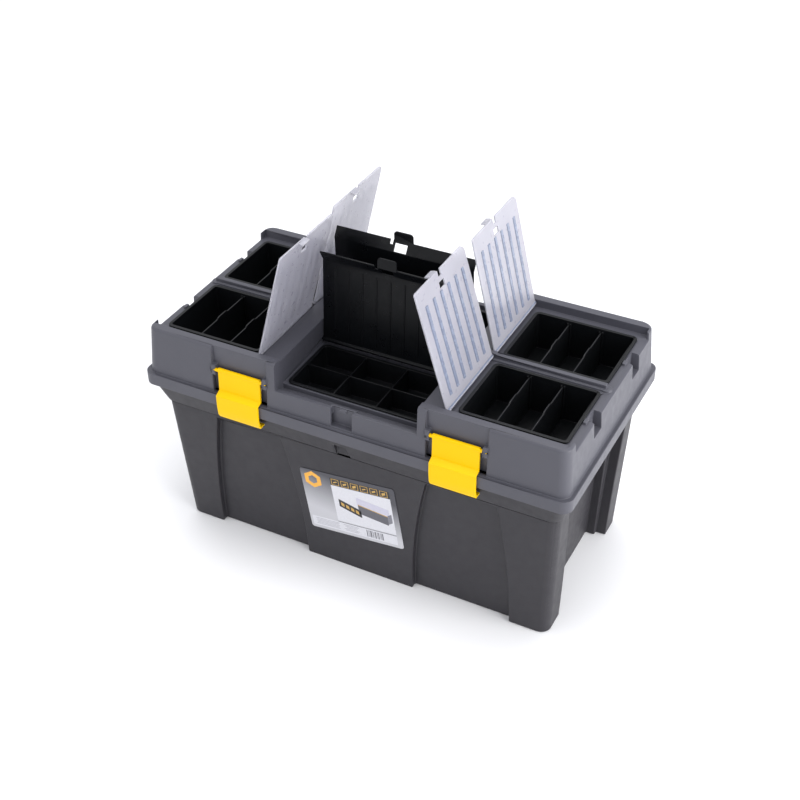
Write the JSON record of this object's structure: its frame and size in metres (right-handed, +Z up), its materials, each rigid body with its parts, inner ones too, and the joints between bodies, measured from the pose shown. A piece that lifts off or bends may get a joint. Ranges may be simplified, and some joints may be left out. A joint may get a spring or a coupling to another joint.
{
  "type": "toolbox with tray",
  "caption": "Long plastic toolbox whose hinged lid holds covered small-part trays, with snap latches, a folding carry handle and a lift-out tray.",
  "frame": {"origin": "middle of the underside, on the surface the box stands on", "axes": "+X along the length to the right, +Y from the latched front to the hinged back, +Z up"},
  "size_m": [0.56, 0.3076, 0.4373],
  "materials": {
    "lid_plastic": "satin moulded polypropylene, dark grey",
    "bin_plastic": "satin moulded polypropylene, charcoal",
    "tray_plastic": "satin moulded polypropylene, black",
    "flap_plastic": "satin moulded polypropylene, black, ribbed inside",
    "handle_plastic": "satin moulded polypropylene, black",
    "clear_plastic": "translucent natural polypropylene, ribbed",
    "latch_plastic": "semi-gloss yellow polypropylene",
    "pin_steel": "bright steel wire",
    "label_film": "printed self-adhesive film"
  },
  "bodies": {
    "base": {"bin": "bin_plastic", "label": "label_film", "hinge_pin_left": "pin_steel", "hinge_pin_right": "pin_steel"},
    "lid": {"lid": "lid_plastic", "handle_pin_left": "handle_plastic", "handle_pin_right": "handle_plastic", "side_tray_front_left": "tray_plastic", "side_tray_back_left": "tray_plastic", "side_tray_front_right": "tray_plastic", "side_tray_back_right": "tray_plastic", "centre_tray_front": "tray_plastic", "centre_tray_back": "tray_plastic"},
    "lift_tray": {"lift_out_tray": "tray_plastic", "lift_out_handle": "tray_plastic"},
    "handle": {"carry_handle": "handle_plastic"},
    "left_latch": {"latch_left": "latch_plastic"},
    "front_left_cover": {"clear_cover_front_left": "clear_plastic"},
    "divider_front_left_inner": {"divider_front_left_inner": "tray_plastic"},
    "divider_front_left_outer": {"divider_front_left_outer": "tray_plastic"},
    "back_left_cover": {"clear_cover_back_left": "clear_plastic"},
    "divider_back_left_inner": {"divider_back_left_inner": "tray_plastic"},
    "divider_back_left_outer": {"divider_back_left_outer": "tray_plastic"},
    "right_latch": {"latch_right": "latch_plastic"},
    "front_right_cover": {"clear_cover_front_right": "clear_plastic"},
    "divider_front_right_inner": {"divider_front_right_inner": "tray_plastic"},
    "divider_front_right_outer": {"divider_front_right_outer": "tray_plastic"},
    "back_right_cover": {"clear_cover_back_right": "clear_plastic"},
    "divider_back_right_inner": {"divider_back_right_inner": "tray_plastic"},
    "divider_back_right_outer": {"divider_back_right_outer": "tray_plastic"},
    "front_flap": {"centre_cover_front": "flap_plastic"},
    "back_flap": {"centre_cover_back": "flap_plastic"}
  },
  "joints": [
    {"name": "lid_hinge", "type": "hinge", "parent": "base", "child": "lid", "pos_m": [0, 0.1523, 0.2208], "axis": [-1, 0, 0], "range_deg": [0, 100]},
    {"name": "tray_lift", "type": "slide", "parent": "base", "child": "lift_tray", "axis": [0, 0, 1], "range_m": [0, 0.09]},
    {"name": "handle_pivot", "type": "hinge", "parent": "lid", "child": "handle", "pos_m": [0, 0.0035, 0.2688], "axis": [-1, 0, 0], "range_deg": [0, 90]},
    {"name": "left_latch_pivot", "type": "hinge", "parent": "lid", "child": "left_latch", "pos_m": [-0.1415, -0.1403, 0.2688], "axis": [-1, 0, 0], "range_deg": [0, 115]},
    {"name": "front_left_cover_hinge", "type": "hinge", "parent": "lid", "child": "front_left_cover", "pos_m": [-0.122, -0.0644, 0.2948], "axis": [0, -1, 0], "range_deg": [0, 105.5]},
    {"name": "divider_front_left_inner_lift", "type": "slide", "parent": "lid", "child": "divider_front_left_inner", "axis": [0, 0, -1], "range_m": [-0.045, 0]},
    {"name": "divider_front_left_outer_lift", "type": "slide", "parent": "lid", "child": "divider_front_left_outer", "axis": [0, 0, -1], "range_m": [-0.045, 0]},
    {"name": "back_left_cover_hinge", "type": "hinge", "parent": "lid", "child": "back_left_cover", "pos_m": [-0.122, 0.0644, 0.2948], "axis": [0, -1, 0], "range_deg": [0, 103.5]},
    {"name": "divider_back_left_inner_lift", "type": "slide", "parent": "lid", "child": "divider_back_left_inner", "axis": [0, 0, -1], "range_m": [-0.045, 0]},
    {"name": "divider_back_left_outer_lift", "type": "slide", "parent": "lid", "child": "divider_back_left_outer", "axis": [0, 0, -1], "range_m": [-0.045, 0]},
    {"name": "right_latch_pivot", "type": "hinge", "parent": "lid", "child": "right_latch", "pos_m": [0.1415, -0.1403, 0.2688], "axis": [-1, 0, 0], "range_deg": [0, 115]},
    {"name": "front_right_cover_hinge", "type": "hinge", "parent": "lid", "child": "front_right_cover", "pos_m": [0.122, -0.0644, 0.2948], "axis": [0, 1, 0], "range_deg": [0, 106]},
    {"name": "divider_front_right_inner_lift", "type": "slide", "parent": "lid", "child": "divider_front_right_inner", "axis": [0, 0, -1], "range_m": [-0.045, 0]},
    {"name": "divider_front_right_outer_lift", "type": "slide", "parent": "lid", "child": "divider_front_right_outer", "axis": [0, 0, -1], "range_m": [-0.045, 0]},
    {"name": "back_right_cover_hinge", "type": "hinge", "parent": "lid", "child": "back_right_cover", "pos_m": [0.122, 0.0644, 0.2948], "axis": [0, 1, 0], "range_deg": [0, 103]},
    {"name": "divider_back_right_inner_lift", "type": "slide", "parent": "lid", "child": "divider_back_right_inner", "axis": [0, 0, -1], "range_m": [-0.045, 0]},
    {"name": "divider_back_right_outer_lift", "type": "slide", "parent": "lid", "child": "divider_back_right_outer", "axis": [0, 0, -1], "range_m": [-0.045, 0]},
    {"name": "front_flap_hinge", "type": "hinge", "parent": "lid", "child": "front_flap", "pos_m": [0, -0.0275, 0.2701], "axis": [1, 0, 0], "range_deg": [0, 94]},
    {"name": "back_flap_hinge", "type": "hinge", "parent": "lid", "child": "back_flap", "pos_m": [0, 0.014, 0.2701], "axis": [-1, 0, 0], "range_deg": [0, 92.5]}
  ],
  "couplings": [
    {"joint": "tray_lift", "follows": "lid_hinge", "m_per_rad": 0.05}
  ]
}
